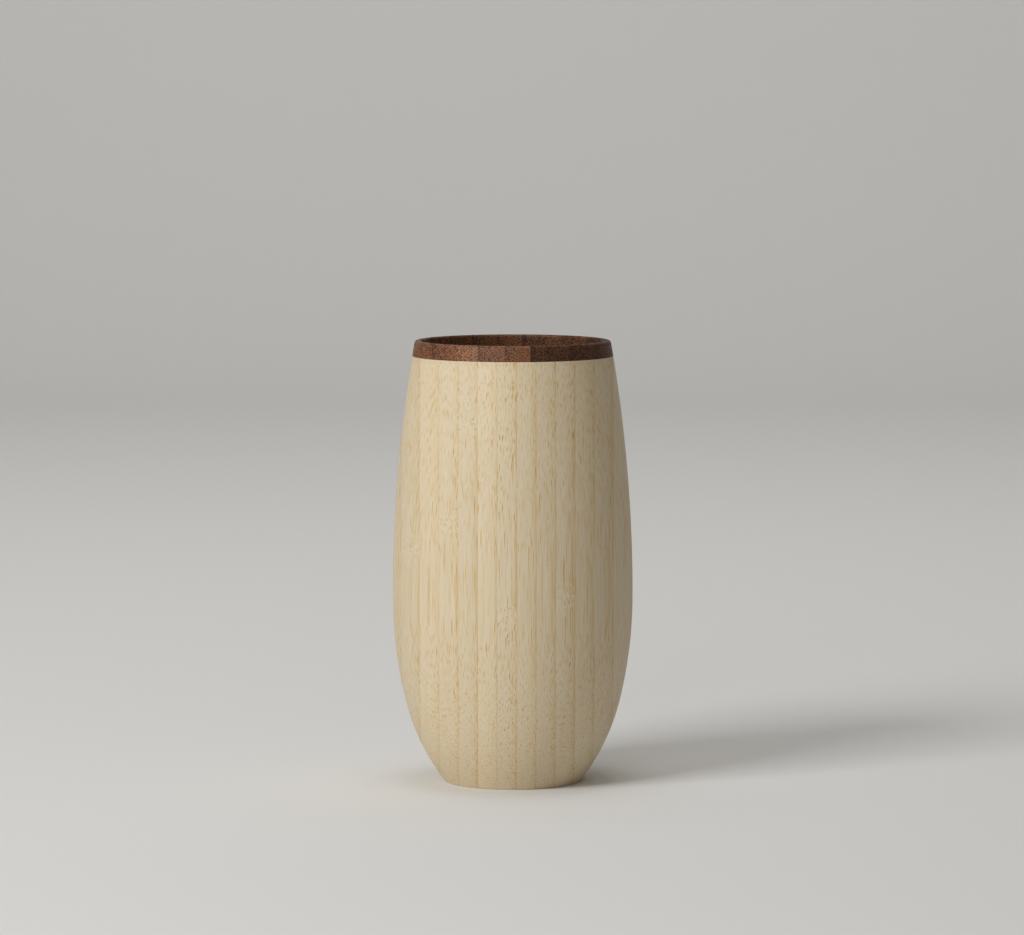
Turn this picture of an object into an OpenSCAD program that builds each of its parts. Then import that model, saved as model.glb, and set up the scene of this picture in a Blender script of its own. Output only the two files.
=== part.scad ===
// Tumbler turned from a glued block of bamboo strips, with a rim ring of dark bamboo strips

/* [Cup] */
// Height of the whole cup
cup_h = 140; // [120:1:170]
// Outside diameter at the widest place
belly_d = 76; // [70:0.5:90]
// Height of the widest place above the table
belly_z = 59; // [50:1:70]
// Outside diameter at the lip, before its edge is rounded
rim_d = 61.8; // [56:0.2:66]
// Outside diameter where the cup meets the table, before its edge is rounded
base_d = 43.2; // [38:0.2:50]

/* [Walls] */
// Thickness of the wall at the lip
rim_wall = 2; // [1.8:0.1:3]
// Thickness of the wall at the widest place
belly_wall = 3; // [2:0.1:5]
// Thickness of the wall low down, where it starts to curve into the floor
heel_wall = 4; // [3:0.1:6]
// Thickness of the floor in the middle
floor_t = 6.5; // [4:0.5:9]

/* [Turned edges] */
// Rounding of the lip's outer edge
lip_outer_round = 1; // [0.4:0.1:1]
// Rounding of the lip's inner edge
lip_inner_round = 0.7; // [0.3:0.1:0.7]
// Rounding of the edge that the cup stands on
base_round = 0.6; // [0.2:0.1:1.5]
// Diameter of the shallow hollow turned into the underside
dish_d = 34; // [24:0.5:35]
// Depth of that hollow
dish_depth = 1; // [0.5:0.1:2]

/* [Body strips] */
// Layers of strips from left to right
layer_count = 13; // [11:2:15]
// Thickness that the lathe left of the leftmost layer
left_layer_t = 2.9; // [1.5:0.1:6]
// Thickness that it left of the rightmost layer
right_layer_t = 6.55; // [1.5:0.05:7]
// How many layers on the left of the middle one are three strips wide, like itself
three_wide_left = 2; // [0:1:2]
// How many on its right are
three_wide_right = 3; // [0:1:3]
// Width of the middle strip of those, from front to back
strip_w = 24; // [18:0.5:26]
// How far the edge joints of every other layer are moved towards the back
strip_stagger = 1.5; // [0:0.1:2]

/* [Rim ring] */
// Height of the ring of dark strips
ring_h = 4.9; // [3:0.1:12]
// Turn of its strips against those of the body, in degrees
ring_turn = 2.4; // [0:0.1:10]

/* [Hidden] */
belly_r = belly_d / 2;
rim_r = rim_d / 2;
base_r = base_d / 2;
joint_z = cup_h - ring_h;

// Where the outside starts to curve in faster on its way down: the share of the widest place's
// height, and the share of the way in from there to the base
heel_z_share = 0.44;
heel_in_share = 0.24;

// Glue lines across the rim ring, as shares of its outer radius
ring_joint_shares = [-0.84, -0.62, -0.385, -0.12, 0.135, 0.305, 0.54, 0.79];

// How far a cut runs past a surface
overrun = 1;
// Heights and large radii are rounded to this, so that neighbouring curves meet exactly
grid = 0.001;
// Length of the flats that draw a curve on the screen, and the fewest flats to a circle
flat_length = 0.8;
fewest_flats = 32;
// Sides that draw a turned surface on the screen
$fn = 180;

function on_grid(size) = round(size / grid) * grid;

// A point is [radius, height] and an arc is [centre, radius]. A lean is the angle between
// the wall and the vertical, more than 0 where the wall draws in.
function chord_lean(from, to) = atan2(from.x - to.x, abs(to.y - from.y));

// The arc that leaves one point with the given lean and reaches another
function arc_between(from, to, lean) =
    let (
        radius = on_grid(norm(to - from) / (2 * sin(chord_lean(from, to) - lean))),
        way = sign(to.y - from.y)
    )
    [[from.x - radius * cos(lean), from.y - way * radius * sin(lean)], radius];
// The lean with which that arc arrives
function lean_after(from, to, lean) = 2 * chord_lean(from, to) - lean;

// The outside, from the widest place up to the lip, down to the heel and on to the base
widest = [belly_r, belly_z];
lip = [rim_r, cup_h];
heel = [belly_r - (belly_r - base_r) * heel_in_share, on_grid(belly_z * heel_z_share)];
base = [base_r, 0];
upper_arc = arc_between(widest, lip, 0);
lower_arc = arc_between(widest, heel, 0);
heel_arc = arc_between(heel, base, lean_after(widest, heel, 0));

// The inside, level with the outside's points and further in by the wall's thickness there
function inside_of(point, wall) = point - [wall / cos(lean_after(widest, point, 0)), 0];
inner_widest = widest - [belly_wall, 0];
inner_lip = inside_of(lip, rim_wall);
inner_heel = inside_of(heel, heel_wall);
inner_upper_arc = arc_between(inner_widest, inner_lip, 0);
inner_lower_arc = arc_between(inner_widest, inner_heel, 0);

// The arc that carries the inside down to the flat of the floor
inner_heel_lean = lean_after(inner_widest, inner_heel, 0);
nose_r = (inner_heel.y - floor_t) / (1 - sin(inner_heel_lean));
nose_arc = [inner_heel - nose_r * [cos(inner_heel_lean), -sin(inner_heel_lean)], nose_r];

// The arc that rounds the edge between an arc and a level face. Its centre lies at height z,
// and the gap between the two arcs' centres is given.
function edge_arc(arc, gap, z, radius) =
    [[arc[0].x + sqrt(pow(gap, 2) - pow(z - arc[0].y, 2)), z], radius];
// The height at which that arc meets the first
function meeting_z(arc, edge) =
    on_grid(arc[0].y + arc[1] * (edge[0].y - arc[0].y) / norm(edge[0] - arc[0]));

lip_outer_arc =
    edge_arc(upper_arc, upper_arc[1] - lip_outer_round, cup_h - lip_outer_round, lip_outer_round);
lip_inner_arc = edge_arc(
    inner_upper_arc, inner_upper_arc[1] + lip_inner_round, cup_h - lip_inner_round, lip_inner_round
);
base_edge_arc = edge_arc(heel_arc, heel_arc[1] - base_round, base_round, base_round);
lip_outer_z = meeting_z(upper_arc, lip_outer_arc);
lip_inner_z = meeting_z(inner_upper_arc, lip_inner_arc);
base_edge_z = meeting_z(heel_arc, base_edge_arc);

dish_r = (pow(dish_d / 2, 2) + pow(dish_depth, 2)) / (2 * dish_depth);

// The layers are numbered from the middle one, and the strips of all but the outermost two are
// equally thick
outer_layer = (layer_count - 1) / 2;
layers = [-outer_layer : outer_layer];
strip_t = (belly_d - left_layer_t - right_layer_t) / (layer_count - 2);
// The glue line on a layer's left
function line_x(layer) = left_layer_t - belly_r + (layer + outer_layer - 1) * strip_t;
function left_x(layer) = layer == -outer_layer ? -belly_d : line_x(layer);
function right_x(layer) = layer == outer_layer ? belly_d : line_x(layer + 1);

// The bore leaves only the floor of a middle strip
function is_three_wide(layer) = layer >= -three_wide_left && layer <= three_wide_right;
function places(layer) = is_three_wide(layer) ? ["front", "floor", "back"] : ["front", "back"];
function shift_of(layer) = layer % 2 == 0 ? 0 : strip_stagger;
function joint_lines(layer) =
    is_three_wide(layer)
        ? [-belly_d, shift_of(layer) - strip_w / 2, shift_of(layer) + strip_w / 2, belly_d]
        : [-belly_d, shift_of(layer), belly_d];

ring_lines = concat([-rim_d], rim_r * ring_joint_shares, [rim_d]);
ring_strips = len(ring_lines) - 1;
ring_sides = ["front", "back"];

function layer_name(layer) =
    layer == 0 ? "mid" : layer < 0 ? str("left_", -layer) : str("right_", layer);
function strip_name(layer, place) = str("body_strip_", layer_name(layer), "_", place);
function ring_name(strip, side) = str("rim_strip_", strip + 1, "_", side);
left_end = ring_name(0, "left");
right_end = ring_name(ring_strips - 1, "right");

// Colours of natural and of heat-darkened bamboo, and how much the tone differs between strips
pale_bamboo = [0.84, 0.76, 0.61];
dark_bamboo = [0.45, 0.31, 0.22];
tone_share = 0.1;
function tone(number) = 1 - tone_share * abs(sin(number * 77));

function sides_of(radius) = max(fewest_flats, ceil(2 * PI * radius / flat_length));

module disc(arc) {
    translate(arc[0]) circle(r = arc[1], $fn = sides_of(arc[1]));
}

module slice(width, low, high) {
    translate([0, low]) square([width, high - low]);
}

// Everything between the axis and an arc, from one height to another
module arc_slice(arc, low, high) {
    intersection() {
        union() {
            disc(arc);
            if (arc[0].x > 0) slice(arc[0].x, low, high);
        }
        slice(belly_d, low, high);
    }
}

module outside_profile() {
    arc_slice(base_edge_arc, 0, base_edge_z);
    arc_slice(heel_arc, base_edge_z, heel.y);
    arc_slice(lower_arc, heel.y, belly_z);
    arc_slice(upper_arc, belly_z, lip_outer_z);
    arc_slice(lip_outer_arc, lip_outer_z, cup_h);
}

module inside_profile() {
    arc_slice(nose_arc, floor_t, heel.y);
    arc_slice(inner_lower_arc, heel.y, belly_z);
    arc_slice(inner_upper_arc, belly_z, lip_inner_z);
    difference() {
        slice(lip_inner_arc[0].x, lip_inner_z, cup_h + overrun);
        disc(lip_inner_arc);
    }
}

module turned_cup() {
    rotate_extrude() {
        difference() {
            outside_profile();
            inside_profile();
            intersection() {
                disc([[0, dish_depth - dish_r], dish_r]);
                slice(belly_d, -overrun, dish_depth + overrun);
            }
        }
    }
}

// What the lathe left of one block of the glued-up blank
module turned_block(low, high) {
    intersection() {
        turned_cup();
        translate(low) cube(high - low);
    }
}

module body_strip(layer, place) {
    i = search([place], places(layer))[0];
    color(pale_bamboo * tone(layer + i))
        turned_block(
            [left_x(layer), joint_lines(layer)[i], -overrun],
            [right_x(layer), joint_lines(layer)[i + 1], joint_z]
        );
}

// A strip of the ring, between its own two glue lines and two places along it
module ring_strip(strip, start, end) {
    color(dark_bamboo * tone(strip))
        intersection() {
            turned_cup();
            rotate(ring_turn)
                translate([ring_lines[strip], start, joint_z])
                    cube([ring_lines[strip + 1] - ring_lines[strip], end - start, ring_h + overrun]);
        }
}

module rim_strip(strip, side) {
    if (side == "front") ring_strip(strip, -rim_d, 0);
    if (side == "back") ring_strip(strip, 0, rim_d);
}

module rim_end(strip) {
    ring_strip(strip, -rim_d, rim_d);
}

for (layer = layers) {
    for (place = places(layer)) {
        body_strip(layer, place);
    }
}

rim_end(0);
for (strip = [1 : ring_strips - 2]) {
    for (side = ring_sides) {
        rim_strip(strip, side);
    }
}
rim_end(ring_strips - 1);
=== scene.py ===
"""A tumbler turned from a glued block of bamboo strips, with a rim ring of dark bamboo strips."""

import math
from itertools import pairwise
from typing import NamedTuple

import bpy
from bpy.props import FloatProperty, FloatVectorProperty, IntProperty, PointerProperty
from bpy.types import Operator, Panel, PropertyGroup
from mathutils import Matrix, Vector


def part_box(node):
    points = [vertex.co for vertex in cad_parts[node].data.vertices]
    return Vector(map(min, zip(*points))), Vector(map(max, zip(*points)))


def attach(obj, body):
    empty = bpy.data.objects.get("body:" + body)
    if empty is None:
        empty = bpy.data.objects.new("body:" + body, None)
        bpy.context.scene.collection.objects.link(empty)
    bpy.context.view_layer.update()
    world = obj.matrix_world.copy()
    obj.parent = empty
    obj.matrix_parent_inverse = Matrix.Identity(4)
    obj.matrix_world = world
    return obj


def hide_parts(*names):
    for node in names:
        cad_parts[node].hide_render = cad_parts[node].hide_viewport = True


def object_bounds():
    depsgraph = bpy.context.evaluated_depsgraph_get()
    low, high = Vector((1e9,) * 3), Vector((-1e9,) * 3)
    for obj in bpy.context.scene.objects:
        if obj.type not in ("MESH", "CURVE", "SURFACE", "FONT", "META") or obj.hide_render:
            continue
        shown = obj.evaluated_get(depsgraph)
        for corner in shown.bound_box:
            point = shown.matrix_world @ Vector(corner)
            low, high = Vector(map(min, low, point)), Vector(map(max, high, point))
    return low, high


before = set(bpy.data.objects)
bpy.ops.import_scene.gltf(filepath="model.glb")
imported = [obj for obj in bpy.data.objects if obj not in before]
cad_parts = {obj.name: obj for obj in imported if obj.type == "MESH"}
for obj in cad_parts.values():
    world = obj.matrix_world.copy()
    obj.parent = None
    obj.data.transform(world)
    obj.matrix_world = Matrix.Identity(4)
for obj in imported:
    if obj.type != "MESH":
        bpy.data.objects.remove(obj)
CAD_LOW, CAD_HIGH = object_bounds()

bl_info = {
    "name": "Bamboo Tumbler",
    "version": (1, 0, 0),
    "blender": (4, 5, 0),
    "location": "3D View > Sidebar > Tumbler",
    "description": "Makes a turned tumbler of glued bamboo strips, and the stage it stands on",
    "category": "Add Mesh",
}

MM = 0.001
CUP_H = CAD_HIGH.z
BELLY_R = CAD_HIGH.x
# How far off the box of its CAD node a strip's box may be
MOST_OFF = 0.05 * MM
# Points that are closer than this are one
SAME_POINT = 0.001 * MM
# Edges that bend more than this are sharp
SHARP_ANGLE = math.radians(30)

# The photograph's width and its lens's focal length, both in pixels
PHOTO_WIDTH = 1024
PHOTO_LENS = 4869.5
# The width of the camera's sensor, in its own millimetres
SENSOR_WIDTH = 36.0


def length(name, description, default):
    """A size in metres, whose default is given in millimetres."""
    return FloatProperty(
        name=name,
        description=description,
        default=default * MM,
        subtype="DISTANCE",
        unit="LENGTH",
        precision=5,
    )


def angle(name, description, default):
    """An angle in radians, whose default is given in degrees."""
    return FloatProperty(
        name=name,
        description=description,
        default=math.radians(default),
        subtype="ANGLE",
        unit="ROTATION",
    )


def colour(name, description, default):
    return FloatVectorProperty(
        name=name, description=description, default=default, subtype="COLOR", min=0, max=1, size=3
    )


def factor(name, description, default):
    return FloatProperty(
        name=name, description=description, default=default, subtype="FACTOR", min=0, max=1
    )


def count(name, description, default, fewest=0):
    return IntProperty(name=name, description=description, default=default, min=fewest)


class TumblerShape(PropertyGroup):
    """Sizes of the turned shape"""

    belly_z: length("Widest Height", "Height of the widest place above the table", 59)
    rim_d: length("Lip Diameter", "Outside diameter at the lip, before rounding", 61.8)
    base_d: length("Base Diameter", "Outside diameter at the table, before rounding", 43.2)
    rim_wall: length("Lip Wall", "Thickness of the wall at the lip", 2)
    belly_wall: length("Widest Wall", "Thickness of the wall at the widest place", 3)
    heel_wall: length("Heel Wall", "Thickness of the wall where it curves into the floor", 4)
    floor_t: length("Floor", "Thickness of the floor in the middle", 6.5)
    lip_outer_round: length("Lip Outer Rounding", "Rounding of the lip's outer edge", 1)
    lip_inner_round: length("Lip Inner Rounding", "Rounding of the lip's inner edge", 0.7)
    base_round: length("Base Rounding", "Rounding of the edge that the cup stands on", 0.6)
    dish_d: length("Hollow Diameter", "Diameter of the hollow under the base", 34)
    dish_depth: length("Hollow Depth", "Depth of the hollow under the base", 1)
    heel_z_share: factor("Heel Height", "Heel's height as a share of the widest place's", 0.44)
    heel_in_share: factor("Heel Inset", "Heel's share of the way in to the base", 0.24)
    step: length("Step", "Length of a step along the turned outline", 1.2)
    columns: count("Columns", "Steps round the cup", 480, fewest=24)


class TumblerStrips(PropertyGroup):
    """Sizes of the bamboo strips"""

    layer_count: count("Layers", "Layers of the body from left to right", 13, fewest=5)
    left_layer_t: length("Leftmost Layer", "Thickness the lathe left of the leftmost layer", 2.9)
    right_layer_t: length("Rightmost Layer", "Thickness the lathe left of the rightmost layer", 6.55)
    three_wide_left: count("Wide on the Left", "Three-wide layers left of the middle one", 2)
    three_wide_right: count("Wide on the Right", "Three-wide layers right of the middle one", 3)
    strip_w: length("Strip Width", "Width of a three-wide layer's middle strip", 24)
    strip_stagger: length("Stagger", "Shift of every other layer's edge joints", 1.5)
    ring_h: length("Ring Height", "Height of the ring of dark strips", 4.9)
    ring_turn: angle("Ring Turn", "Turn of the ring's strips against the body's", 2.4)


class TumblerFinish(PropertyGroup):
    """Colours of the natural and the darkened bamboo"""

    pale_ground: colour("Pale Ground", "Soft tissue of natural bamboo", (0.725, 0.63, 0.46))
    pale_shade: colour("Pale Shade", "Darker soft tissue of natural bamboo", (0.675, 0.54, 0.34))
    pale_fibre: colour("Pale Fibre", "Fibre bundles of natural bamboo", (0.61, 0.405, 0.14))
    pale_line: colour("Pale Line", "Densest bundles and glue lines of the body", (0.43, 0.24, 0.07))
    dark_ground: colour("Dark Ground", "Soft tissue of darkened bamboo", (0.27, 0.118, 0.053))
    dark_shade: colour("Dark Shade", "Darker tissue of darkened bamboo", (0.19, 0.078, 0.038))
    dark_fibre: colour("Dark Fibre", "Fibre bundles of darkened bamboo", (0.045, 0.017, 0.011))
    dark_line: colour("Dark Line", "Densest bundles and glue lines of the ring", (0.028, 0.011, 0.008))


class TumblerStage(PropertyGroup):
    """The floor and the camera"""

    floor_colour: colour("Floor", "Colour of the floor and backdrop", (0.80, 0.80, 0.79))
    camera_distance: length("Camera Distance", "From the cup's axis to the camera", 1534.6)
    camera_height: length("Camera Height", "Camera's height above the table", 235.4)
    camera_pitch: angle("Camera Pitch", "How far the camera looks down", 5.056)
    camera_x: length("Camera Side", "Camera's place to the right of the cup's axis", -0.24)


class NodeMaker:
    """Adds nodes to a tree, one call to a node, and links what it is given."""

    def __init__(self, tree):
        self.tree = tree

    def add(self, kind, inputs=None, **settings):
        node = self.tree.nodes.new(kind)
        for name, value in settings.items():
            setattr(node, name, value)
        for key, value in (inputs or {}).items():
            self.feed(node.inputs[key], value)
        return node

    def feed(self, socket, value):
        if isinstance(value, bpy.types.NodeSocket):
            self.tree.links.new(value, socket)
        else:
            socket.default_value = value

    def math(self, operation, *values, clamp=False):
        inputs = dict(enumerate(values))
        return self.add("ShaderNodeMath", inputs, operation=operation, use_clamp=clamp).outputs[0]

    def vector_math(self, operation, *values):
        inputs = dict(enumerate(values))
        return self.add("ShaderNodeVectorMath", inputs, operation=operation).outputs[0]

    def scaled(self, vector, scale):
        inputs = {0: vector, "Scale": scale}
        return self.add("ShaderNodeVectorMath", inputs, operation="SCALE").outputs[0]

    def split(self, vector):
        return self.add("ShaderNodeSeparateXYZ", {0: vector}).outputs

    def joined(self, x=0.0, y=0.0, z=0.0):
        return self.add("ShaderNodeCombineXYZ", {0: x, 1: y, 2: z}).outputs[0]

    def ramp(self, value, low, high, start=0.0, end=1.0):
        """A smooth step from start to end, as value goes from low to high."""
        inputs = {0: value, 1: low, 2: high, 3: start, 4: end}
        node = self.add("ShaderNodeMapRange", inputs, interpolation_type="SMOOTHSTEP")
        return node.outputs[0]

    def mix(self, share, first, second):
        inputs = {0: share, 2: first, 3: second}
        return self.add("ShaderNodeMix", inputs, data_type="FLOAT").outputs[0]

    def mix_colour(self, share, first, second):
        inputs = {0: share, 6: first, 7: second}
        return self.add("ShaderNodeMix", inputs, data_type="RGBA").outputs[2]

    def grouped(self, group, inputs):
        return self.add("ShaderNodeGroup", node_tree=group, inputs=inputs).outputs

    def noise_node(self, place, waves, detail, rough):
        inputs = {
            "Vector": self.vector_math("MULTIPLY", place, waves),
            "Scale": 1.0,
            "Detail": detail,
            "Roughness": rough,
        }
        return self.add("ShaderNodeTexNoise", inputs)

    def noise(self, place, waves, detail=1.0, rough=0.5):
        """Noise from 0 to 1. Waves are how many fit in a millimetre, along x, y and z."""
        return self.noise_node(place, waves, detail, rough).outputs[0]

    def sway(self, place, waves, reach):
        """A smooth random shift, of up to half the reach each way."""
        shift = self.noise_node(place, waves, detail=1.0, rough=0.5).outputs[1]
        middle = (0.5, 0.5, 0.5)
        return self.scaled(self.vector_math("SUBTRACT", shift, middle), reach)


def new_group(name, kind, inputs, outputs):
    """A node group with the given sockets. Returns it, its maker, its inputs and its output node."""
    group = bpy.data.node_groups.new(name, kind)
    for socket_name, socket_kind in inputs.items():
        group.interface.new_socket(socket_name, in_out="INPUT", socket_type=socket_kind)
    for socket_name, socket_kind in outputs.items():
        group.interface.new_socket(socket_name, in_out="OUTPUT", socket_type=socket_kind)
    make = NodeMaker(group)
    given = make.add("NodeGroupInput").outputs
    result = make.add("NodeGroupOutput")
    return group, make, given, result


def shared_group(name, build):
    """The node group of this name, built if it isn't there yet."""
    return bpy.data.node_groups.get(name) or build()


# Turned outline


def chord_lean(start, end):
    """Angle between the chord of two (radius, height) points and the vertical."""
    return math.atan2(start[0] - end[0], abs(end[1] - start[1]))


def arc_between(start, end, lean):
    """(centre, radius) of the arc that leaves start with the given lean and reaches end."""
    radius = math.dist(start, end) / (2 * math.sin(chord_lean(start, end) - lean))
    way = math.copysign(1, end[1] - start[1])
    centre = (start[0] - radius * math.cos(lean), start[1] - way * radius * math.sin(lean))
    return centre, radius


def lean_after(start, end, lean):
    """The lean with which that arc arrives."""
    return 2 * chord_lean(start, end) - lean


def edge_arc(arc, gap, z, radius):
    """The arc that rounds an edge: its centre is at height z and a gap away from the arc's own."""
    centre, _ = arc
    return (centre[0] + math.sqrt(gap**2 - (z - centre[1]) ** 2), z), radius


def meeting_point(arc, edge):
    """Where an edge's arc touches the arc that it rounds."""
    centre, radius = arc
    reach = radius / math.dist(edge[0], centre)
    return tuple(c + (e - c) * reach for c, e in zip(centre, edge[0]))


def arc_points(arc, start, end, step):
    """Points along an arc, the shorter way from start to end, without the last."""
    centre, radius = arc
    first = math.atan2(start[1] - centre[1], start[0] - centre[0])
    last = math.atan2(end[1] - centre[1], end[0] - centre[0])
    sweep = math.remainder(last - first, 2 * math.pi)
    fewest = 8
    steps = max(fewest, math.ceil(abs(sweep) * radius / step))
    angles = (first + sweep * i / steps for i in range(steps))
    return [(centre[0] + radius * math.cos(a), centre[1] + radius * math.sin(a)) for a in angles]


def inside_of(point, widest, wall):
    """The inside's point level with one of the outside's, where the wall has this thickness."""
    return point[0] - wall / math.cos(lean_after(widest, point, 0)), point[1]


def main_points(shape):
    """The outside's points at the lip, the widest place, the heel and the base, before rounding."""
    base_r = shape.base_d / 2
    heel_r = BELLY_R - (BELLY_R - base_r) * shape.heel_in_share
    lip = (shape.rim_d / 2, CUP_H)
    widest = (BELLY_R, shape.belly_z)
    heel = (heel_r, shape.belly_z * shape.heel_z_share)
    return lip, widest, heel, (base_r, 0)


def outside_stretches(shape):
    """(arc, start, end) of each stretch of the outside, from the table up to the lip's flat."""
    lip, widest, heel, base = main_points(shape)
    upper = arc_between(widest, lip, 0)
    lower = arc_between(widest, heel, 0)
    heel_arc = arc_between(heel, base, lean_after(widest, heel, 0))

    base_round = shape.base_round
    lip_round = shape.lip_outer_round
    base_edge = edge_arc(heel_arc, heel_arc[1] - base_round, base_round, base_round)
    lip_edge = edge_arc(upper, upper[1] - lip_round, CUP_H - lip_round, lip_round)
    base_point = meeting_point(heel_arc, base_edge)
    lip_point = meeting_point(upper, lip_edge)
    return [
        (base_edge, (base_edge[0][0], 0), base_point),
        (heel_arc, base_point, heel),
        (lower, heel, widest),
        (upper, widest, lip_point),
        (lip_edge, lip_point, (lip_edge[0][0], CUP_H)),
    ]


def inside_stretches(shape):
    """(arc, start, end) of each stretch of the inside, from the lip's flat down to the floor."""
    outer_lip, outer_widest, outer_heel, _ = main_points(shape)
    lip = inside_of(outer_lip, outer_widest, shape.rim_wall)
    widest = (BELLY_R - shape.belly_wall, shape.belly_z)
    heel = inside_of(outer_heel, outer_widest, shape.heel_wall)
    upper = arc_between(widest, lip, 0)
    lower = arc_between(widest, heel, 0)
    lean = lean_after(widest, heel, 0)
    nose_r = (heel[1] - shape.floor_t) / (1 - math.sin(lean))
    nose = (heel[0] - nose_r * math.cos(lean), heel[1] + nose_r * math.sin(lean)), nose_r

    lip_round = shape.lip_inner_round
    lip_edge = edge_arc(upper, upper[1] + lip_round, CUP_H - lip_round, lip_round)
    lip_point = meeting_point(upper, lip_edge)
    return [
        (lip_edge, (lip_edge[0][0], CUP_H), lip_point),
        (upper, lip_point, widest),
        (lower, widest, heel),
        (nose, heel, (nose[0][0], shape.floor_t)),
    ]


def turned_outline(shape):
    """Points (radius, height) from the underside's middle, up the outside and down to the floor's."""
    dish_r = ((shape.dish_d / 2) ** 2 + shape.dish_depth**2) / (2 * shape.dish_depth)
    dish = (0, shape.dish_depth - dish_r), dish_r
    hollow = (dish, (0, shape.dish_depth), (shape.dish_d / 2, 0))
    stretches = [hollow, *outside_stretches(shape), *inside_stretches(shape)]
    floor_middle = (0, shape.floor_t)

    points = []
    starts = [start for _, start, _ in stretches[1:]] + [floor_middle]
    for (arc, start, end), next_start in zip(stretches, starts):
        points += arc_points(arc, start, end, shape.step)
        flat_follows = math.dist(end, next_start) > SAME_POINT
        if flat_follows:
            points.append(end)
    return points + [floor_middle]


def outline_mesh(shape):
    points = turned_outline(shape)
    mesh = bpy.data.meshes.new("outline")
    mesh.from_pydata([(r, 0, z) for r, z in points], list(pairwise(range(len(points)))), [])
    return mesh


# Turned strips

# What each strip carries to its material: the socket, the attribute and the kind of value. Its
# low and high corners are places across it, along its width and along its grain, before its turn.
STRIP_VALUES = (
    ("Strip Low", "strip_low", "Vector"),
    ("Strip High", "strip_high", "Vector"),
    ("Seed", "strip_seed", "Float"),
    # A strip's step of brightness: partly its own, partly painted shade
    ("Tone And Shade", "strip_tone_and_shade", "Float"),
    ("Skin Darkness", "skin_darkness", "Float"),
    ("Bundle Spacing", "bundle_spacing", "Float"),
    ("Knot Place", "knot_place", "Float"),
)
ATTRIBUTE_KINDS = {"Vector": "FLOAT_VECTOR", "Float": "FLOAT"}


def turned_surface(make, outline, columns):
    """Turns the outline about the vertical axis. A grid has a row for each point of the outline
    and a column for each step round, and its last column is welded to its first."""
    rows = make.add("GeometryNodeAttributeDomainSize", {"Geometry": outline}).outputs[0]
    around = make.math("ADD", columns, 1)
    grid = make.add("GeometryNodeMeshGrid", {"Vertices X": around, "Vertices Y": rows})
    index = make.add("GeometryNodeInputIndex").outputs[0]
    column = make.math("FLOOR", make.math("DIVIDE", index, rows))
    row = make.math("MODULO", index, rows)
    place = make.add("GeometryNodeInputPosition").outputs[0]
    sample = make.add("GeometryNodeSampleIndex", data_type="FLOAT_VECTOR")
    for socket, value in (("Geometry", outline), ("Value", place), ("Index", row)):
        make.feed(sample.inputs[socket], value)
    radius, _, height = make.split(sample.outputs[0])
    turn = make.math("DIVIDE", make.math("MULTIPLY", column, 2 * math.pi), columns)
    x = make.math("MULTIPLY", radius, make.math("COSINE", turn))
    y = make.math("MULTIPLY", radius, make.math("SINE", turn))
    position = make.joined(x, y, height)
    turned = make.add(
        "GeometryNodeSetPosition", {"Geometry": grid.outputs[0], "Position": position}
    )
    welded = make.add(
        "GeometryNodeMergeByDistance", {"Geometry": turned.outputs[0], "Distance": SAME_POINT}
    )
    return welded.outputs[0]


def placed_block(make, size, centre, turn):
    """A block at its place, which is then turned about the vertical axis."""
    block = make.add("GeometryNodeMeshCube", {"Size": size})
    moved = make.add(
        "GeometryNodeTransform", {"Geometry": block.outputs[0], "Translation": centre}
    )
    rotation = make.joined(z=turn)
    swung = make.add(
        "GeometryNodeTransform", {"Geometry": moved.outputs[0], "Rotation": rotation}
    )
    return swung.outputs[0]


def strip_tree():
    """Geometry nodes that turn an outline about the vertical axis and keep one strip's block of it."""
    inputs = {
        "Outline": "NodeSocketGeometry",
        "Columns": "NodeSocketInt",
        "Block Size": "NodeSocketVector",
        "Block Centre": "NodeSocketVector",
        "Block Turn": "NodeSocketFloat",
        "Finish": "NodeSocketMaterial",
    }
    inputs |= {socket: "NodeSocket" + kind for socket, _, kind in STRIP_VALUES}
    outputs = {"Strip": "NodeSocketGeometry"}
    tree, make, given, result = new_group("Turned Strip", "GeometryNodeTree", inputs, outputs)

    surface = turned_surface(make, given["Outline"], given["Columns"])
    block = placed_block(make, given["Block Size"], given["Block Centre"], given["Block Turn"])
    cut = make.add("GeometryNodeMeshBoolean", operation="INTERSECT", solver="MANIFOLD")
    for solid in (surface, block):
        make.feed(cut.inputs[1], solid)

    geometry = make.add("GeometryNodeSetShadeSmooth", {"Geometry": cut.outputs[0]}).outputs[0]
    for socket, attribute, kind in STRIP_VALUES:
        keep = make.add(
            "GeometryNodeStoreNamedAttribute",
            {"Geometry": geometry, "Name": attribute},
            data_type=ATTRIBUTE_KINDS[kind],
        )
        make.feed(keep.inputs["Value"], given[socket])
        geometry = keep.outputs[0]
    real = make.add("GeometryNodeRealizeInstances", {"Geometry": geometry})
    finished = make.add(
        "GeometryNodeSetMaterial", {"Geometry": real.outputs[0], "Material": given["Finish"]}
    )
    make.feed(result.inputs["Strip"], finished.outputs[0])
    return tree


def check_place(strip, node):
    """Stops the script where a strip's corners aren't those of its CAD node."""
    corners = [Vector(corner) for corner in strip.bound_box]
    low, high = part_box(node)
    for axis in range(3):
        off_low = abs(min(corner[axis] for corner in corners) - low[axis])
        off_high = abs(max(corner[axis] for corner in corners) - high[axis])
        if max(off_low, off_high) > MOST_OFF:
            raise RuntimeError(f"{node} is {off_low / MM:.3f} and {off_high / MM:.3f} mm off")


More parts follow.
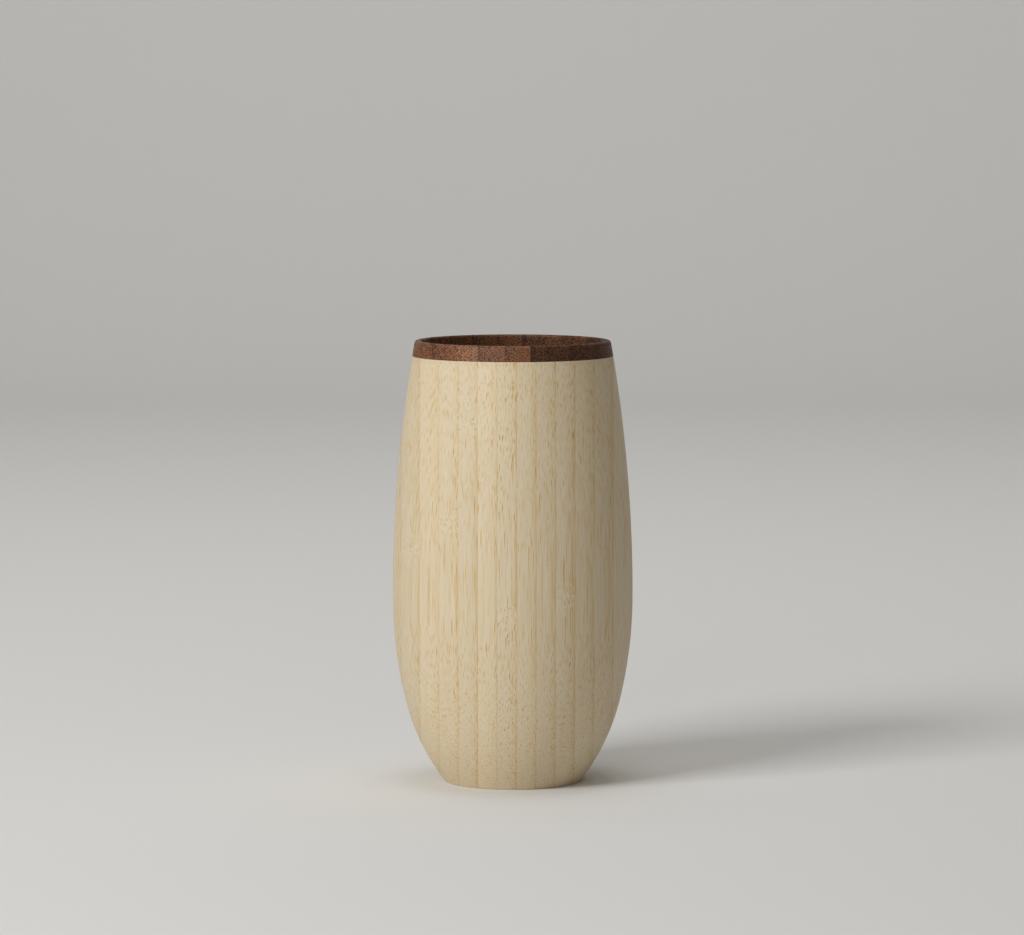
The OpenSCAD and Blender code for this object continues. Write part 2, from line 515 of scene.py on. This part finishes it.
def cut_strip(name, outline, values):
    """Makes a strip with the tree's modifier, and puts it in the place of its CAD node."""
    tree = shared_group("Turned Strip", strip_tree)
    source = bpy.data.objects.new(name + "_source", outline)
    bpy.context.scene.collection.objects.link(source)
    modifier = source.modifiers.new("Turned Strip", "NODES")
    modifier.node_group = tree
    sockets = {item.name: item.identifier for item in tree.interface.items_tree}
    for socket, value in values.items():
        modifier[sockets[socket]] = value
    evaluated = source.evaluated_get(bpy.context.evaluated_depsgraph_get())
    mesh = bpy.data.meshes.new_from_object(evaluated)
    bpy.data.objects.remove(source)
    mesh.name = name + "_turned"
    mesh.set_sharp_from_angle(angle=SHARP_ANGLE)
    strip = bpy.data.objects.new(name + "_turned", mesh)
    bpy.context.scene.collection.objects.link(strip)
    check_place(strip, name)
    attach(strip, "root")
    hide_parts(name)


def block_values(shape, low, high, turn=0.0):
    """The tree's inputs for a strip that fills the block from one corner to the other."""
    low, high = Vector(low), Vector(high)
    return {
        "Columns": shape.columns,
        "Block Size": high - low,
        "Block Centre": (low + high) / 2,
        "Block Turn": turn,
    }


# Body

# Brightness of each layer, in doublings, and how dark its skin side is. The layers right of the
# middle are all a little darker: that is painted shade, where the light falls off on the right,
# and the smaller steps between neighbours are the layers' own.
LAYER_LOOKS = {
    -6: (0.0, 0.5),
    -5: (-0.03, 0.5),
    -4: (0.03, 0.45),
    -3: (0.0, 0.5),
    -2: (-0.02, 0.85),
    -1: (0.05, 0.6),
    0: (0.0, 0.85),
    1: (-0.03, 0.9),
    2: (-0.09, 0.75),
    3: (-0.08, 0.95),
    4: (-0.08, 0.7),
    5: (-0.1, 0.7),
    6: (-0.08, 0.6),
}
# Heights of the knots in the layers that have one on the front
LAYER_KNOTS = {-5: 75.5 * MM, -3: 84.5 * MM, -2: 116 * MM, 0: 55.5 * MM, 3: 62 * MM}
NO_KNOT = -1.0
BODY_BUNDLE_SPACING = 0.58 * MM
# Steps between the seeds of neighbouring strips, from left to right and from front to back
LAYER_SEED_STEP = 3.7
PLACE_SEED_STEP = 11.3


def body_layers(strips):
    """(number, left side, right side) of each layer, numbered from the middle one."""
    outer = (strips.layer_count - 1) // 2
    thickness = (2 * BELLY_R - strips.left_layer_t - strips.right_layer_t) / (strips.layer_count - 2)
    for layer in range(-outer, outer + 1):
        left = strips.left_layer_t - BELLY_R + (layer + outer - 1) * thickness
        yield layer, left, left + thickness


def joint_lines(strips, layer):
    """Places, from front to back, of the edge joints in a layer."""
    shift = 0 if layer % 2 == 0 else strips.strip_stagger
    if -strips.three_wide_left <= layer <= strips.three_wide_right:
        return [shift - strips.strip_w / 2, shift + strips.strip_w / 2]
    return [shift]


def layer_name(layer):
    if layer == 0:
        return "mid"
    return f"left_{-layer}" if layer < 0 else f"right_{layer}"


def make_body(context):
    shape = context.scene.tumbler_shape
    strips = context.scene.tumbler_strips
    outline = outline_mesh(shape)
    finish = pale_bamboo(context.scene)
    beyond = BELLY_R * 2
    joint_z = CUP_H - strips.ring_h
    layers = list(body_layers(strips))
    outer, _, _ = layers[-1]
    for layer, left, right in layers:
        # Its brightness holds painted shade on the layers right of the middle
        tone_and_shade, skin_darkness = LAYER_LOOKS[layer]
        joints = joint_lines(strips, layer)
        places = ["front", "floor", "back"] if len(joints) == 2 else ["front", "back"]
        block_left = -beyond if layer == -outer else left
        block_right = beyond if layer == outer else right
        sides = pairwise([-beyond, *joints, beyond])
        for number, (place, (front, back)) in enumerate(zip(places, sides)):
            values = block_values(shape, (block_left, front, -beyond), (block_right, back, joint_z))
            values |= {
                "Strip Low": Vector((left, front, 0)),
                "Strip High": Vector((right, back, joint_z)),
                "Seed": layer * LAYER_SEED_STEP + number * PLACE_SEED_STEP,
                "Tone And Shade": tone_and_shade,
                "Skin Darkness": skin_darkness,
                "Bundle Spacing": BODY_BUNDLE_SPACING,
                "Knot Place": LAYER_KNOTS.get(layer, NO_KNOT) if place == "front" else NO_KNOT,
                "Finish": finish,
            }
            name = f"body_strip_{layer_name(layer)}_{place}"
            cut_strip(name, outline, values)


# Rim ring

# Glue lines across the ring, as shares of its outer radius
RING_JOINT_SHARES = (-0.84, -0.62, -0.385, -0.12, 0.135, 0.305, 0.54, 0.79)
# Brightness of each strip at the front and at the back, in doublings, how dark its skin side is,
# and how far apart its fibre bundles are. A strip's front and back differ by painted shade: the
# back halves of the middle strips are darker as painted shade inside the back wall, and the front
# halves of the right strips are darker as painted shade on the side away from the key light. The
# rest is the strips' own.
RING_LOOKS = (
    (-0.25, -0.25, 0.5, 0.75 * MM),
    (-0.1, -0.6, 0.6, 0.75 * MM),
    (0.2, -0.9, 0.2, 0.9 * MM),
    (-0.05, -0.7, 0.8, 0.7 * MM),
    (-0.15, -0.5, 0.7, 0.8 * MM),
    (-1.2, -0.65, 0.9, 0.65 * MM),
    (-1.25, -0.55, 0.6, 0.75 * MM),
    (-1.2, -0.7, 0.5, 0.75 * MM),
    (-0.7, -0.7, 0.6, 0.75 * MM),
)
# The seed of the leftmost strip, and the step to the next
RING_SEED = 40
RING_SEED_STEP = 5.3


def make_ring(context):
    shape = context.scene.tumbler_shape
    strips = context.scene.tumbler_strips
    outline = outline_mesh(shape)
    finish = dark_bamboo(context.scene)
    beyond = shape.rim_d
    joint_z = CUP_H - strips.ring_h
    top = CUP_H + strips.ring_h
    lines = [-beyond, *(share * shape.rim_d / 2 for share in RING_JOINT_SHARES), beyond]
    last = len(RING_LOOKS) - 1
    for number, (left, right) in enumerate(pairwise(lines)):
        # A strip's front and back halves get their own brightness, which differs by painted shade
        front_tone_and_shade, back_tone_and_shade, skin_darkness, spacing = RING_LOOKS[number]
        if number in (0, last):
            pieces = [("left" if number == 0 else "right", -beyond, beyond, front_tone_and_shade)]
        else:
            pieces = [("front", -beyond, 0, front_tone_and_shade), ("back", 0, beyond, back_tone_and_shade)]
        for side, start, end, tone_and_shade in pieces:
            low, high = (left, start, joint_z), (right, end, top)
            values = block_values(shape, low, high, strips.ring_turn)
            values |= {
                "Strip Low": Vector((left, joint_z, start)),
                "Strip High": Vector((right, top, end)),
                "Seed": RING_SEED + number * RING_SEED_STEP,
                "Tone And Shade": tone_and_shade,
                "Skin Darkness": skin_darkness,
                "Bundle Spacing": spacing,
                "Knot Place": NO_KNOT,
                "Finish": finish,
            }
            cut_strip(f"rim_strip_{number + 1}_{side}", outline, values)


# Finishes


def seeded_place(make, depth, width, along, skin, seed):
    """A place in a strip's own stretch of bamboo, which is denser towards the skin side."""
    crowding = 0.3
    stretch_span = 90.0
    closer = make.math("ADD", 1.0, make.math("MULTIPLY", skin, crowding))
    crowded = make.math("MULTIPLY", depth, closer)
    own = make.add("ShaderNodeTexWhiteNoise", {"W": seed}, noise_dimensions="1D").outputs[1]
    own_place = make.scaled(own, stretch_span)
    return make.vector_math("ADD", make.joined(crowded, width, along), own_place)


def knot_nearness(make, along, knot_place):
    """1 in the middle of a knot, and 0 away from it."""
    reach = 4.2
    away = make.math("DIVIDE", make.math("SUBTRACT", along, knot_place), reach)
    return make.math("EXPONENT", make.math("MULTIPLY", make.math("MULTIPLY", away, away), -1.0))


def wandering_place(make, seeded, knot):
    """A place moved as bundles wander out of line, and as a knot throws them about."""
    thrown = make.math("MULTIPLY", knot, 5.0)
    sways = (
        make.sway(seeded, waves=(0.12, 0.12, 0.02), reach=1.6),
        make.sway(seeded, waves=(0.5, 0.5, 0.09), reach=0.7),
        make.sway(seeded, waves=(0.28, 0.28, 0.19), reach=thrown),
    )
    moved = seeded
    for sway in sways:
        moved = make.vector_math("ADD", moved, sway)
    return moved


def nearest_bundle(make, moved, spacing):
    """The distance to the middle of the nearest bundle, and two random numbers of its own. The
    bundles stand in slanting rows, further apart from inner side to skin side than across."""
    deep_stretch = 1.35
    wide_stretch = 0.85
    slant = math.sin(math.pi / 4)
    moved_x, moved_y, _ = make.split(moved)
    x = make.math("DIVIDE", moved_x, make.math("MULTIPLY", spacing, deep_stretch))
    y = make.math("DIVIDE", moved_y, make.math("MULTIPLY", spacing, wide_stretch))
    slanted = make.joined(
        make.math("MULTIPLY", make.math("ADD", x, y), slant),
        make.math("MULTIPLY", make.math("SUBTRACT", x, y), slant),
    )
    inputs = {"Vector": slanted, "Scale": 1.0, "Randomness": 0.6}
    cells = make.add("ShaderNodeTexVoronoi", inputs, voronoi_dimensions="2D").outputs
    chance, other_chance, _ = make.split(cells[1])
    return make.math("MULTIPLY", cells[0], spacing), chance, other_chance


def bundle_core(make, distance, radius, chance, skin, hairs):
    """1 in a bundle and 0 outside it. Bundles differ in size, and fine fibres fray their edges."""
    radius = make.math("MULTIPLY", radius, make.mix(chance, 0.7, 1.35))
    radius = make.math("MULTIPLY", radius, make.mix(skin, 0.9, 1.25))
    radius = make.math("MULTIPLY", radius, make.ramp(hairs, 0.3, 0.7, 0.65, 1.35))
    return make.ramp(make.math("DIVIDE", distance, radius), 0.5, 1.3, 1.0, 0.0)


def bundle_strength(make, seeded, chance, skin, knot, faintest):
    """How dark a bundle is. More of them are dark in some bands, and in a knot."""
    band = make.ramp(make.noise(seeded, (0.45, 0.20, 0.012)), 0.35, 0.65, 0.45, 1.4)
    chosen = make.math("MULTIPLY", make.math("POWER", chance, 1.3), band)
    chosen = make.math("ADD", chosen, make.math("MULTIPLY", knot, 0.25), clamp=True)
    return make.mix(chosen, faintest, make.mix(skin, 0.85, 1.0))


def bundle_stretches(make, moved, knot, faintest):
    """How much of a bundle shows. It fades for some stretches along the grain, but not in a knot."""
    stretch = make.ramp(make.noise(moved, (0.9, 0.9, 0.14)), 0.32, 0.62, 0.35, 1.0)
    return make.mix(make.math("MAXIMUM", faintest, knot), stretch, 1.0)


def soft_tissue(make, seeded, moved, hairs):
    """Darkness of the tissue between the bundles, in fine streaks along the grain."""
    fine = make.noise(moved, (1.9, 1.9, 0.07), detail=3.0, rough=0.65)
    clouds = make.noise(seeded, (0.3, 0.3, 0.05), detail=2.0)
    shade = make.math("ADD", make.math("MULTIPLY", fine, 0.6), make.math("MULTIPLY", clouds, 0.3))
    shade = make.math("ADD", shade, make.math("MULTIPLY", hairs, 0.25))
    return make.ramp(shade, 0.44, 0.76, 0.0, 0.8)


def skin_streaks(make, skin, streaks, darkness):
    """The dark of the skin side, in streaks that thin out away from the glue line."""
    beside = make.math("ADD", skin, make.math("MULTIPLY", streaks, 1.1))
    return make.math("MULTIPLY", make.ramp(beside, 1.15, 1.8), darkness)


def edge_distance(make, depth, thickness, width, full_width):
    """How far a place is from the nearest glued face of its strip."""
    from_side = make.math("MINIMUM", depth, make.math("SUBTRACT", thickness, depth))
    from_joint = make.math("MINIMUM", width, make.math("SUBTRACT", full_width, width))
    return make.math("ABSOLUTE", make.math("MINIMUM", from_side, from_joint))


def glue_lines(make, from_edge, skin, streaks, darkness):
    """Uneven lines along a strip's glued edges, darkest beside its skin side."""
    full, gone = 0.07, 0.26
    glue = make.ramp(from_edge, full, gone, 1.0, 0.0)
    glue = make.math("MULTIPLY", glue, make.ramp(streaks, 0.35, 0.65, 0.15, 1.0))
    beside = make.math("MULTIPLY", make.mix(skin, 0.7, 1.0), darkness)
    return make.math("MULTIPLY", glue, beside)


def bamboo_group():
    """Shader nodes for solid bamboo. Place and Size are in millimetres: a place's depth from the
    side of the strip that faced the hollow of the culm, its way across the strip's width, and its
    way along the grain."""
    inputs = {
        "Place": "NodeSocketVector",
        "Size": "NodeSocketVector",
        "Skin Darkness": "NodeSocketFloat",
        "Seed": "NodeSocketFloat",
        "Bundle Spacing": "NodeSocketFloat",
        "Bundle Radius": "NodeSocketFloat",
        "Faintest Bundle": "NodeSocketFloat",
        "Knot Place": "NodeSocketFloat",
    }
    outputs = dict.fromkeys(("Fibre", "Shade", "Glue", "Knot"), "NodeSocketFloat")
    group, make, given, result = new_group("Solid Bamboo", "ShaderNodeTree", inputs, outputs)
    depth, width, along = make.split(given["Place"])
    thickness, full_width, _ = make.split(given["Size"])
    darkness = given["Skin Darkness"]
    faintest = given["Faintest Bundle"]
    skin = make.math("DIVIDE", depth, thickness, clamp=True)

    seeded = seeded_place(make, depth, width, along, skin, given["Seed"])
    knot = knot_nearness(make, along, given["Knot Place"])
    moved = wandering_place(make, seeded, knot)
    hairs = make.noise(moved, (6.0, 6.0, 0.2), detail=2.0, rough=0.6)
    streaks = make.noise(moved, (1.1, 1.1, 0.04), detail=2.0)
    beside = skin_streaks(make, skin, streaks, darkness)

    distance, chance, other_chance = nearest_bundle(make, moved, given["Bundle Spacing"])
    core = bundle_core(make, distance, given["Bundle Radius"], chance, skin, hairs)
    strength = bundle_strength(make, seeded, other_chance, skin, knot, faintest)
    stretch = bundle_stretches(make, moved, knot, faintest)
    fibre = make.math("MULTIPLY", make.math("MULTIPLY", core, strength), stretch, clamp=True)
    fibre = make.math("MULTIPLY", fibre, make.mix(knot, 1.0, 0.85))
    fibre = make.math("ADD", fibre, make.math("MULTIPLY", beside, 0.22), clamp=True)

    shade = make.math("ADD", soft_tissue(make, seeded, moved, hairs), beside, clamp=True)
    from_edge = edge_distance(make, depth, thickness, width, full_width)
    glue = glue_lines(make, from_edge, skin, streaks, darkness)
    for name, value in (("Fibre", fibre), ("Shade", shade), ("Glue", glue), ("Knot", knot)):
        make.feed(result.inputs[name], value)
    return group


def turning_group():
    """Shader nodes for the fine rings that a lathe tool leaves. Place and Below are in
    millimetres, and the rings are plainest where Below is least."""
    inputs = {"Place": "NodeSocketVector", "Below": "NodeSocketFloat"}
    outputs = {"Height": "NodeSocketFloat"}
    group, make, given, result = new_group("Turning Marks", "ShaderNodeTree", inputs, outputs)
    marks = make.noise(given["Place"], (0.02, 0.02, 1.9))
    plain = make.ramp(given["Below"], 0.5, 4.0, 1.0, 0.12)
    make.feed(result.inputs["Height"], make.math("MULTIPLY", marks, plain))
    return group


class Bamboo(NamedTuple):
    """What a kind of bamboo looks like, and which way its strips lie. Its lacquer and its faintest
    bundle are shares of the strongest. Its axes are the ones that run across a strip, along its
    width and along its grain, and its skin side is at the high or at the low end of the first."""

    name: str
    ground: tuple
    shade: tuple
    fibre: tuple
    line: tuple
    lacquer: float
    bundle_radius: float
    faintest_bundle: float
    axes: tuple
    skin_is_high: bool
    turn: float


def opaque(rgb):
    return (*rgb, 1.0)


def strip_attribute(make, name, output="Fac"):
    return make.add("ShaderNodeAttribute", attribute_name=name).outputs[output]


def length_attribute(make, name):
    """A length that a strip carries, in millimetres."""
    return make.math("DIVIDE", strip_attribute(make, name), MM)


def corner_attribute(make, name):
    """A corner that a strip carries, in millimetres."""
    return make.scaled(strip_attribute(make, name, "Vector"), 1 / MM)


def solid_bamboo(make, kind, place):
    """The outputs of the bamboo group, placed by the strip's own attributes."""
    back = {"Vector": place, "Angle": -kind.turn}
    unturned = make.add("ShaderNodeVectorRotate", back, rotation_type="Z_AXIS").outputs[0]
    parts = make.split(unturned)
    across, width, along = (parts[axis] for axis in kind.axes)
    low = corner_attribute(make, "strip_low")
    high = corner_attribute(make, "strip_high")
    if kind.skin_is_high:
        depth = make.math("SUBTRACT", across, make.split(low)[0])
    else:
        depth = make.math("SUBTRACT", make.split(high)[0], across)
    width = make.math("SUBTRACT", width, make.split(low)[1])
    inputs = {
        "Place": make.joined(depth, width, along),
        "Size": make.vector_math("SUBTRACT", high, low),
        "Skin Darkness": strip_attribute(make, "skin_darkness"),
        "Seed": strip_attribute(make, "strip_seed"),
        "Bundle Spacing": length_attribute(make, "bundle_spacing"),
        "Bundle Radius": kind.bundle_radius / MM,
        "Faintest Bundle": kind.faintest_bundle,
        "Knot Place": length_attribute(make, "knot_place"),
    }
    return make.grouped(shared_group("Solid Bamboo", bamboo_group), inputs)


def turning_marks(make, place, joint_z):
    """The output of the turning group, whose rings are plainest beside the rim ring's joint."""
    below = make.math("ABSOLUTE", make.math("SUBTRACT", make.split(place)[2], joint_z / MM))
    inputs = {"Place": place, "Below": below}
    return make.grouped(shared_group("Turning Marks", turning_group), inputs)["Height"]


def bamboo_colour(make, kind, seen, marks):
    """Soft tissue, bundles and glue lines in their colours, brightened or darkened as the strip says,
    which holds the strip's own darkness and some painted shade.
    """
    tint = make.mix_colour(seen["Shade"], kind.ground, kind.shade)
    tint = make.mix_colour(make.math("MULTIPLY", seen["Knot"], 0.8), tint, kind.ground)
    tint = make.mix_colour(make.ramp(seen["Fibre"], 0.0, 0.8), tint, kind.fibre)
    tint = make.mix_colour(make.ramp(seen["Fibre"], 0.6, 1.15), tint, kind.line)
    tint = make.mix_colour(make.math("MULTIPLY", seen["Glue"], 0.5), tint, kind.line)
    # The strip's step of brightness, partly its own and partly painted shade
    tone_and_shade = make.math("POWER", 2.0, strip_attribute(make, "strip_tone_and_shade"))
    tone_and_shade = make.math("MULTIPLY", tone_and_shade, make.ramp(marks, 0.2, 0.8, 1.0, 0.93))
    return make.vector_math("MULTIPLY", tint, make.joined(tone_and_shade, tone_and_shade, tone_and_shade))


def bamboo_material(kind, joint_z):
    """Lacquered bamboo, with its bundles, turning marks and glue lines in slight relief."""
    material = bpy.data.materials.new(kind.name)
    material.use_nodes = True
    material.node_tree.nodes.clear()
    make = NodeMaker(material.node_tree)
    place = make.scaled(make.add("ShaderNodeTexCoord").outputs["Object"], 1 / MM)
    seen = solid_bamboo(make, kind, place)
    marks = turning_marks(make, place, joint_z)

    relief = make.math("ADD", make.math("MULTIPLY", seen["Fibre"], 0.5), marks)
    relief = make.math("SUBTRACT", relief, seen["Glue"])
    bump = make.add("ShaderNodeBump", {"Strength": 0.4, "Distance": 0.02 * MM, "Height": relief})
    shader = make.add(
        "ShaderNodeBsdfPrincipled",
        {
            "Base Color": bamboo_colour(make, kind, seen, marks),
            "Roughness": make.math("ADD", 0.5, make.math("MULTIPLY", seen["Fibre"], 0.06)),
            "Normal": bump.outputs[0],
            "Specular IOR Level": 0.22,
            "Coat Weight": kind.lacquer,
            "Coat Roughness": 0.3,
        },
    )
    make.add("ShaderNodeOutputMaterial", {"Surface": shader.outputs[0]})
    return material


def pale_bamboo(scene):
    """Natural bamboo, for upright strips whose skin side is on the right."""
    finish = scene.tumbler_finish
    kind = Bamboo(
        name="pale_bamboo_lacquered",
        ground=opaque(finish.pale_ground),
        shade=opaque(finish.pale_shade),
        fibre=opaque(finish.pale_fibre),
        line=opaque(finish.pale_line),
        lacquer=0.1,
        bundle_radius=0.145 * MM,
        faintest_bundle=0.35,
        axes=(0, 1, 2),
        skin_is_high=True,
        turn=0.0,
    )
    return bamboo_material(kind, CUP_H - scene.tumbler_strips.ring_h)


def dark_bamboo(scene):
    """Heat-darkened bamboo, for strips that lie from front to back with the skin side left."""
    finish = scene.tumbler_finish
    strips = scene.tumbler_strips
    kind = Bamboo(
        name="dark_bamboo_lacquered",
        ground=opaque(finish.dark_ground),
        shade=opaque(finish.dark_shade),
        fibre=opaque(finish.dark_fibre),
        line=opaque(finish.dark_line),
        lacquer=0.04,
        bundle_radius=0.25 * MM,
        faintest_bundle=0.75,
        axes=(0, 2, 1),
        skin_is_high=False,
        turn=strips.ring_turn,
    )
    return bamboo_material(kind, CUP_H - strips.ring_h)


# Stage


def backdrop_material(floor_colour):
    material = bpy.data.materials.new("pale_backdrop")
    material.use_nodes = True
    shader = material.node_tree.nodes["Principled BSDF"]
    shader.inputs["Base Color"].default_value = opaque(floor_colour)
    shader.inputs["Roughness"].default_value = 0.9
    return material


def make_floor(stage):
    """A floor that bends up into a backdrop, in one sheet."""
    half_width, front, back, bend, top = 3.0, -3.0, 1.6, 0.6, 3.0
    steps = 16
    curve = [(front, 0.0), (back, 0.0)]
    for i in range(1, steps + 1):
        lean = math.pi / 2 * i / steps
        curve.append((back + bend * math.sin(lean), bend * (1 - math.cos(lean))))
    curve.append((back + bend, top))
    verts = [(side * half_width, y, z) for y, z in curve for side in (-1, 1)]
    faces = [(2 * i, 2 * i + 1, 2 * i + 3, 2 * i + 2) for i in range(len(curve) - 1)]
    mesh = bpy.data.meshes.new("floor_and_backdrop")
    mesh.from_pydata(verts, [], faces)
    mesh.shade_smooth()
    mesh.materials.append(backdrop_material(stage.floor_colour))
    floor = bpy.data.objects.new("floor_and_backdrop", mesh)
    bpy.context.scene.collection.objects.link(floor)


def make_light(name, place, target, size, watts):
    data = bpy.data.lights.new(name, "AREA")
    data.shape = "SQUARE"
    data.size = size
    data.energy = watts
    light = bpy.data.objects.new(name, data)
    light.location = place
    light.rotation_euler = (Vector(target) - light.location).to_track_quat("-Z", "Y").to_euler()
    bpy.context.scene.collection.objects.link(light)


def make_lights():
    """A key light on the left, weaker ones from the front and above, and one on the backdrop."""
    cup = (0, 0, CUP_H / 2)
    make_light("key_softbox", (-1.05, -1.0, 1.0), target=cup, size=0.7, watts=17)
    make_light("front_softbox", (-0.35, -1.5, 0.6), target=cup, size=0.6, watts=2.5)
    make_light("top_softbox", (0, -0.05, 1.4), target=cup, size=0.5, watts=3)
    make_light("backdrop_softbox", (0, 0.7, 1.6), target=(0, 2.2, 0.6), size=1.5, watts=9)


def make_camera(scene, stage):
    data = bpy.data.cameras.new("camera")
    data.sensor_fit = "HORIZONTAL"
    data.sensor_width = SENSOR_WIDTH
    data.lens = PHOTO_LENS / PHOTO_WIDTH * SENSOR_WIDTH
    camera = bpy.data.objects.new("camera", data)
    camera.location = (stage.camera_x, -stage.camera_distance, stage.camera_height)
    camera.rotation_euler = (math.pi / 2 - stage.camera_pitch, 0, 0)
    scene.collection.objects.link(camera)
    scene.camera = camera


def make_world(scene):
    """A weak, warm light from all round."""
    world = bpy.data.worlds.new("studio")
    scene.world = world
    world.use_nodes = True
    shader = world.node_tree.nodes["Background"]
    shader.inputs["Color"].default_value = opaque((1, 0.92, 0.82))
    shader.inputs["Strength"].default_value = 0.16


def make_stage(context):
    scene = context.scene
    scene.view_settings.view_transform = "Standard"
    make_camera(scene, scene.tumbler_stage)
    make_world(scene)
    make_floor(scene.tumbler_stage)
    make_lights()


# Operators and panel


class TUMBLER_OT_stage(Operator):
    """Make the floor, the lights and the camera"""

    bl_idname = "tumbler.stage"
    bl_label = "Stage"

    def execute(self, context):
        make_stage(context)
        return {"FINISHED"}


class TUMBLER_OT_body_strips(Operator):
    """Turn the pale bamboo strips of the body"""

    bl_idname = "tumbler.body_strips"
    bl_label = "Body Strips"

    def execute(self, context):
        make_body(context)
        return {"FINISHED"}


class TUMBLER_OT_rim_strips(Operator):
    """Turn the dark bamboo strips of the rim ring"""

    bl_idname = "tumbler.rim_strips"
    bl_label = "Rim Strips"

    def execute(self, context):
        make_ring(context)
        return {"FINISHED"}


class TUMBLER_PT_panel(Panel):
    """Sizes and finishes of the tumbler"""

    bl_idname = "TUMBLER_PT_panel"
    bl_label = "Bamboo Tumbler"
    bl_space_type = "VIEW_3D"
    bl_region_type = "UI"
    bl_category = "Tumbler"

    def draw(self, context):
        for operator in OPERATORS:
            self.layout.operator(operator.bl_idname)
        for name in PROPERTY_GROUPS:
            settings = getattr(context.scene, name)
            box = self.layout.box()
            box.label(text=settings.bl_rna.description)
            for setting in settings.__annotations__:
                box.prop(settings, setting)


OPERATORS = (TUMBLER_OT_stage, TUMBLER_OT_body_strips, TUMBLER_OT_rim_strips)
PROPERTY_GROUPS = {
    "tumbler_shape": TumblerShape,
    "tumbler_strips": TumblerStrips,
    "tumbler_finish": TumblerFinish,
    "tumbler_stage": TumblerStage,
}


def register():
    for cls in (*PROPERTY_GROUPS.values(), *OPERATORS, TUMBLER_PT_panel):
        bpy.utils.register_class(cls)
    for name, group in PROPERTY_GROUPS.items():
        setattr(bpy.types.Scene, name, PointerProperty(type=group))


def unregister():
    for name in PROPERTY_GROUPS:
        delattr(bpy.types.Scene, name)
    for cls in (TUMBLER_PT_panel, *reversed(OPERATORS), *reversed(PROPERTY_GROUPS.values())):
        bpy.utils.unregister_class(cls)


def main():
    register()
    bpy.ops.tumbler.stage()
    bpy.ops.tumbler.body_strips()
    bpy.ops.tumbler.rim_strips()


if __name__ == "__main__":
    main()
